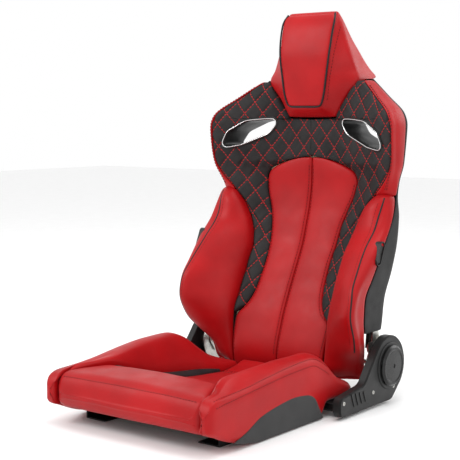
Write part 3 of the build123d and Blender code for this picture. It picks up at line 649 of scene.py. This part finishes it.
def make_quilt(name, sign):
    """Quilted panel: one strip beside the centre panel, widening into the shoulder."""
    low, high, rows, columns = 183.0, 770.0, 196, 66
    verts, faces = [], []
    for depth in (0, 1):
        for row in range(rows + 1):
            z = low + (high - low) * row / rows
            inner, outer = quilt_inner(z), SEAM_X(z) - 0.4
            inner = min(inner, outer - 0.5)
            for column in range(columns + 1):
                u = column / columns
                x = inner + (outer - inner) * u
                middle = z > 582 and z < 676 and u < 0.5
                near = 99 if middle else u * (outer - inner)
                edge = min((1 - u) * (outer - inner), near, (z - low) + 2, (high - z) + 2)
                roll = 4.5 * math.exp(-edge / 3.0)
                crown = 3.4 * (1 - math.exp(-max(edge, 0) / 12))
                y = front_y(x, z) - crown + roll + 3.2 * groove(x, z)
                if depth:
                    y = front_y(x, z) + COVER
                verts.append((sign * x * MM, y * MM, z * MM))
    count = (rows + 1) * (columns + 1)
    for row in range(rows):
        for column in range(columns):
            a = row * (columns + 1) + column
            faces.append((a, a + 1, a + columns + 2, a + columns + 1))
            b = a + count
            faces.append((b, b + columns + 1, b + columns + 2, b + 1))
    for row in range(rows):
        for a in (row * (columns + 1), row * (columns + 1) + columns):
            faces.append((a, a + columns + 1, a + columns + 1 + count, a + count))
    for column in range(columns):
        for a in (column, rows * (columns + 1) + column):
            faces.append((a, a + 1, a + 1 + count, a + count))
    piece = mesh_object(name, verts, faces, quilted_leather)
    cut_with(piece, CUTTERS[sign])
    return piece


back_pieces = {}
for side, sign in SIDES:
    panel = loft(f"centre_panel_{side}", 50, 579, 14, back_panel_section, (8, 1, 4, 1), red_leather,
                 radius=4.5, puff={0: 5.0}, mirror=sign, end_round=4)
    back_pieces["panel", side] = soft(panel, "backrest", f"back_panel_{side}")
    quilt = make_quilt(f"quilted_shoulder_{side}", sign)
    back_pieces["quilt", side] = soft(quilt, "backrest", f"quilted_panel_{side}")
    band = loft(f"shoulder_side_{side}", 492, 771, 11, band_section, (2, 2, 5, 1, 4, 2, 1), red_leather,
                radius=5, puff={0: 1.0, 2: 3.5}, mirror=sign, end_round=5)
    cut_with(band, CUTTERS[sign])
    back_pieces["band", side] = soft(band, "backrest", f"shoulder_band_{side}")
    bolster = loft(f"side_bolster_{side}", 52, 497, 12, bolster_section, (9, 4, 3, 1, 6, 1, 1), red_leather,
                   radius=7, puff={0: 19.0, 1: 5.0}, mirror=sign, end_round=12, ruffle=1.4)
    back_pieces["bolster", side] = soft(bolster, "backrest", f"back_bolster_{side}")
    ridge = [(sign * RIDGE_X(z), RIDGE_Y(z), z) for z in np.linspace(128, 488, 40)]
    track = drop(surface_of(bolster), ridge, (-0.5 * sign, 0.86, 0))
    ridge = [tuple((place + normal * 0.0012) / MM) for place, normal in track]
    piping = tube(f"bolster_edge_piping_{side}", ridge, 2.4, piping_black)
    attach(piping, "backrest")
    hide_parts(f"bolster_piping_{side}")
    make_bezel(f"harness_bezel_{side}", sign)



def lining_section(z):
    front = CENTRE_Y(z) + COVER + 0.6
    return [(112, front), (172, front), (172, front + 2.4), (112, front + 2.4)]


for side, sign in SIDES:
    lining = loft(f"cover_lining_{side}", 54, 200, 14, lining_section, (4, 0, 4, 0), black_fabric, radius=0.8,
                  mirror=sign, end_round=1, ruffle=0)
    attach(lining, "backrest")

for side, sign in SIDES:
    rim = [(sign * x, front_y(x, z) - 6.6, z) for x, z in grown(OPENING, 3.4)]
    piece = tube(f"opening_rim_{side}", rim[::2], 1.2, bright_trim, closed=True)
    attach(piece, "backrest")
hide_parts("bezel_rings")

# ---------------------------------------------------------------- rear shell

SHELL_T = 3.5


def shell_section(z):
    side, edge, rear_side, rear = SIDE_X(z), EDGE_Y(z), REAR_SIDE_Y(z), REAR_Y(z)
    outer = [(side, edge), (side, rear_side - 10), (side - 12, rear_side),
             (0.62 * side, 0.3 * rear_side + 0.7 * rear), (0.25 * side, rear)]
    inner = [(side - SHELL_T, edge), (side - SHELL_T, rear_side - 12), (side - 13, rear_side - SHELL_T),
             (0.61 * side, 0.3 * rear_side + 0.7 * rear - SHELL_T), (0.25 * side, rear - SHELL_T)]
    ring = outer + [(-x, y) for x, y in reversed(outer)]
    return ring + [(-x, y) for x, y in inner] + list(reversed(inner))


shell = loft("rear_shell_skin", 172, 775, 13, shell_section,
             (3, 2, 4, 4, 4, 4, 4, 2, 3, 0, 3, 2, 4, 4, 4, 4, 4, 2, 3, 0), shell_plastic,
             radius=6, end_round=1.2, ruffle=0)
for sign in (1, -1):
    cut_with(shell, CUTTERS[sign])
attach(shell, "backrest")
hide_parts("rear_shell")

# ---------------------------------------------------------------- headrest

HEAD_SIDE_X = curve((679, 71), (724, 98), (775, 136), (798, 125), (832, 112), (865, 101), (925, 82), (942, 74))
HEAD_SIDE_Y = curve((679, 391), (775, 393), (800, 398), (900, 397), (942, 398))
HEAD_REAR_X = curve((679, 71), (724, 98), (774, 134), (776, 130), (865, 92), (937, 70), (942, 64))
HEAD_REAR_Y = curve((679, 403), (770, 404), (778, 505), (800, 489), (880, 440), (930, 413), (942, 406))
PLATEAU_X = curve((679, 48), (706, 50), (736, 59), (783, 66), (824, 72), (870, 76), (922, 77), (942, 68))
PLATEAU_Y = curve((679, 388), (706, 357), (736, 354), (824, 353), (870, 359), (922, 374),
                  (935, 383), (942, 391))


def head_section(z):
    half, front = PLATEAU_X(z), PLATEAU_Y(z) + 2
    side, side_y = HEAD_SIDE_X(z), HEAD_SIDE_Y(z)
    rear_x, rear = HEAD_REAR_X(z), HEAD_REAR_Y(z)
    return [(-half, front), (half, front), (side - 1, side_y), (rear_x, rear), (-rear_x, rear),
            (1 - side, side_y)]


head = loft("headrest_leather", 680, 943, 7, head_section, (8, 5, 5, 8, 5, 5), red_leather,
            radius=5, puff={1: -2.5, 5: -2.5, 3: 3}, end_round=4, ruffle=0.8)
soft(head, "backrest", "headrest_cover")


def insert_section(z):
    half, front = PLATEAU_X(z) - 1.8, PLATEAU_Y(z)
    return [(-half, front), (half, front), (half, front + 6), (-half, front + 6)]


insert = loft("headrest_pad", 708, 936, 9, insert_section, (10, 0, 10, 0), red_leather, radius=2.5,
              puff={0: 3.0}, end_round=3)
soft(insert, "backrest", "headrest_insert")

edge_line = [(PLATEAU_X(z) + 0.3, PLATEAU_Y(z) + 0.8, z) for z in np.linspace(938, 712, 16)]
bottom_line = [(x, PLATEAU_Y(706) + 0.6, 706.0) for x in (44, 22, 0, -22, -44)]
outline = edge_line + bottom_line + [(-x, y, z) for x, y, z in reversed(edge_line)]
head_piping = tube("headrest_edge_piping", outline, 2.3, piping_black)
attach(head_piping, "backrest")
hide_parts("headrest_piping")

# ---------------------------------------------------------------- cushion

SEAT_TOP = curve((-315, 88), (-311, 100), (-303, 110), (-285, 118), (-230, 122), (-197, 122), (-175, 116),
                 (-120, 92), (-60, 74), (0, 65), (60, 61), (143, 57), (190, 62), (228, 74))
ROLL_X = curve((-312, 203), (-295, 209), (-250, 192), (-175, 157))
INSERT_X = curve((-175, 131), (-80, 118), (60, 98), (143, 95), (228, 95))
BOLSTER_X = curve((-318, 206), (-295, 210), (-250, 193), (-175, 158), (-80, 146),
                  (60, 122), (143, 101), (228, 100))
CREST_X = curve((-318, 222), (-285, 222), (-175, 192), (-60, 202), (60, 210), (143, 207), (206, 200))
CREST_Z = curve((-318, 100), (-303, 116), (-250, 122), (-175, 138), (-100, 147), (0, 153), (60, 153),
                (100, 143), (130, 121), (160, 93), (206, 69), (228, 68))
STITCH_Z = curve((-318, 96), (-303, 108), (-250, 114), (-184, 120), (-113, 127), (-39, 133),
                 (47, 136), (90, 120), (122, 100), (160, 76), (206, 60), (228, 54))
SKIRT_Z = curve((-318, 48), (-295, 40), (-241, 18), (-197, 8), (-148, 2), (90, 2), (104, 34), (206, 34))
CUSHION_SIDE_X = 235.5
SEAT_UNDER_Z = 40.0


def roll_section(y):
    half, top = ROLL_X(y) - 0.5, SEAT_TOP(y)
    bottom = SEAT_UNDER_Z + max(0, (-300 - y) * 0.8)
    return [(-half, bottom), (half, bottom), (half, top - 3), (half - 34, top), (34 - half, top),
            (-half, top - 3)]


roll = loft("thigh_roll_leather", -316, -173, 8, roll_section, (14, 4, 3, 12, 3, 4), red_leather, radius=7,
            puff={3: 5.0, 2: 2, 4: 2}, axis="Y", end_round=13, ruffle=1.6, domed=3.0)
soft(roll, "cushion_base", "thigh_roll")


def seat_section(y):
    half, top = INSERT_X(y) - 0.4, SEAT_TOP(y)
    return [(-half, top - COVER), (half, top - COVER), (half, top), (-half, top)]


seat = loft("seat_centre_leather", -177, 140, 12, seat_section, (12, 1, 12, 1), red_leather, radius=4,
            puff={2: 4.0}, axis="Y", end_round=4, ruffle=1.2)
soft(seat, "cushion_base", "seat_panel")
rear_seat = loft("seat_rear_leather", 140.6, 226, 10, seat_section, (12, 1, 12, 1), red_leather, radius=4,
                 puff={2: 3.0}, axis="Y", end_round=4, ruffle=1.0)
soft(rear_seat, "cushion_base", "seat_rear_panel")


def seat_insert_section(y):
    inner, top = INSERT_X(y) + 0.3, SEAT_TOP(y)
    outer = max(BOLSTER_X(y) - 0.4, inner + 1)
    rise = 0.12 * (CREST_Z(y) - top)
    return [(inner, top - COVER), (outer, top - COVER), (outer, top + rise), (inner, top)]


def cushion_bolster_section(y):
    inner, top, crest = BOLSTER_X(y), SEAT_TOP(y), CREST_Z(y)
    under = max(SEAT_UNDER_Z, SKIRT_Z(y))
    leg = max(205.0, inner + 3)
    return [(inner + 0.3, under + 0.5), (inner + 0.3, top + 0.12 * (crest - top)),
            (CREST_X(y) - 18, crest - 1), (CREST_X(y) + 6, crest - 1), (CUSHION_SIDE_X, STITCH_Z(y)),
            (CUSHION_SIDE_X, SKIRT_Z(y)), (leg, SKIRT_Z(y)), (leg, under + 0.5)]


SKIRT_TOP = curve((-241, 18), (-197, 33), (-148, 55), (-83, 67), (-26, 72), (25, 68), (57, 55),
                  (73, 29), (90, 4))
SKIRT_BOTTOM = curve((-241, 17), (-197, 8.5), (-148, 2), (90, 2))


def skirt_section(y):
    top, bottom = max(SKIRT_TOP(y), SKIRT_BOTTOM(y) + 1), SKIRT_BOTTOM(y)
    return [(235.8, bottom), (238.4, bottom), (238.4, top), (235.8, top)]


for side, sign in SIDES:
    piece = loft(f"seat_side_insert_{side}", -177, 140, 12, seat_insert_section, (3, 1, 3, 1), black_leather,
                 radius=3, puff={2: 1.5}, axis="Y", end_round=3, mirror=sign)
    soft(piece, "cushion_base", f"seat_insert_{side}")
    piece = loft(f"thigh_bolster_{side}", -321, 220, 11, cushion_bolster_section,
                 (5, 6, 2, 2, 6, 2, 1, 1), red_leather, radius=7, puff={1: 8.0, 3: 2.0, 4: 2.5}, axis="Y",
                 end_round=12, ruffle=1.5, mirror=sign)
    back_pieces["thigh", side] = soft(piece, "cushion_base", f"cushion_bolster_{side}")
    piece = loft(f"side_cloth_{side}", -240, 89, 9, skirt_section, (0, 6, 0, 6), black_fabric, radius=0.8,
                 puff={1: 1.2}, axis="Y", end_round=1, mirror=sign, ruffle=0.3)
    soft(piece, "cushion_base", f"side_skirt_{side}")

# ---------------------------------------------------------------- stitching

INTO_SEAT = (0, 0, -1)
INTO_BACK = (0, 1, 0)


def stitch_row(name, surfaces, points, direction, body):
    """Stitches along points moved onto a piece, riding with a body."""
    track = drop(surface_of(*surfaces), points, direction)
    if len(track) < 3:
        return
    row = stitches(name, track, seam_thread)
    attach(row, body)


for side, sign in SIDES:
    heights = np.linspace(92, 560, 60)
    stitch_row(f"centre_seam_stitches_{side}", [back_pieces["panel", side]],
               [(sign * 6.5, CENTRE_Y(z), z) for z in heights], INTO_BACK, "backrest")
    heights = np.linspace(90, 520, 60)
    stitch_row(f"panel_edge_stitches_{side}", [back_pieces["panel", side]],
               [(sign * (PANEL_X(z) - 7), CENTRE_Y(z), z) for z in heights], INTO_BACK, "backrest")
    heights = np.linspace(505, 760, 50)
    for number, share in ((1, 0.5), (2, 0.62)):
        stitch_row(f"shoulder_stitches_{number}_{side}", [back_pieces["band", side]],
                   [(sign * (SEAM_X(z) + share * (SIDE_X(z) - SEAM_X(z))), SEAM_Y(z), z) for z in heights],
                   INTO_BACK, "backrest")
    heights = np.linspace(150, 480, 50)
    stitch_row(f"bolster_stitches_{side}", [back_pieces["bolster", side]],
               [(sign * (RIDGE_X(z) - 9), RIDGE_Y(z), z) for z in heights], INTO_BACK, "backrest")
    lengths = np.linspace(-300, 120, 70)
    stitch_row(f"thigh_stitches_upper_{side}", [back_pieces["thigh", side]],
               [(sign * 229, y, STITCH_Z(y)) for y in lengths], INTO_SEAT, "cushion_base")
    stitch_row(f"thigh_stitches_lower_{side}", [back_pieces["thigh", side]],
               [(sign * 236, y, STITCH_Z(y) - 7) for y in lengths], (-sign, 0, 0), "cushion_base")
    stitch_row(f"seat_edge_stitches_{side}", [seat],
               [(sign * (INSERT_X(y) - 7), y, SEAT_TOP(y)) for y in np.linspace(-165, 132, 45)], INTO_SEAT,
               "cushion_base")
    stitch_row(f"headrest_stitches_{side}", [head],
               [(sign * (PLATEAU_X(z) + 7), PLATEAU_Y(z), z) for z in np.linspace(720, 915, 40)], INTO_BACK,
               "backrest")
for number, y in ((1, -302), (2, -181)):
    stitch_row(f"thigh_roll_stitches_{number}", [roll],
               [(x, y, SEAT_TOP(y)) for x in np.linspace(-ROLL_X(y) + 12, ROLL_X(y) - 12, 50)], INTO_SEAT,
               "cushion_base")
for number, y in ((1, 133), (2, 147)):
    stitch_row(f"cross_seam_stitches_{number}", [seat if number == 1 else rear_seat],
               [(x, y, SEAT_TOP(y)) for x in np.linspace(-88, 88, 30)], INTO_SEAT, "cushion_base")

# ---------------------------------------------------------------- foam blocks

for node_name, body in (("cushion_foam", "cushion_base"), ("back_foam", "backrest")):
    source = frame["nodes"][node_name]
    block = bpy.data.objects.new(f"{node_name}_block", source.data.copy())
    bpy.context.scene.collection.objects.link(block)
    block.matrix_world = source.matrix_world.copy()
    block.data.materials.clear()
    block.data.materials.append(foam_block)
    soft(block, body, node_name)

# ---------------------------------------------------------------- finish

for cutter in CUTTERS.values():
    bpy.data.objects.remove(cutter)

floor = mesh_object("floor", [(x, y, -0.0005) for x, y in ((-9, -9), (9, -9), (9, 9), (-9, 9))], [(0, 1, 2, 3)],
                    plastic("floor", 0.90, 0.93, 0.6, 0.0))
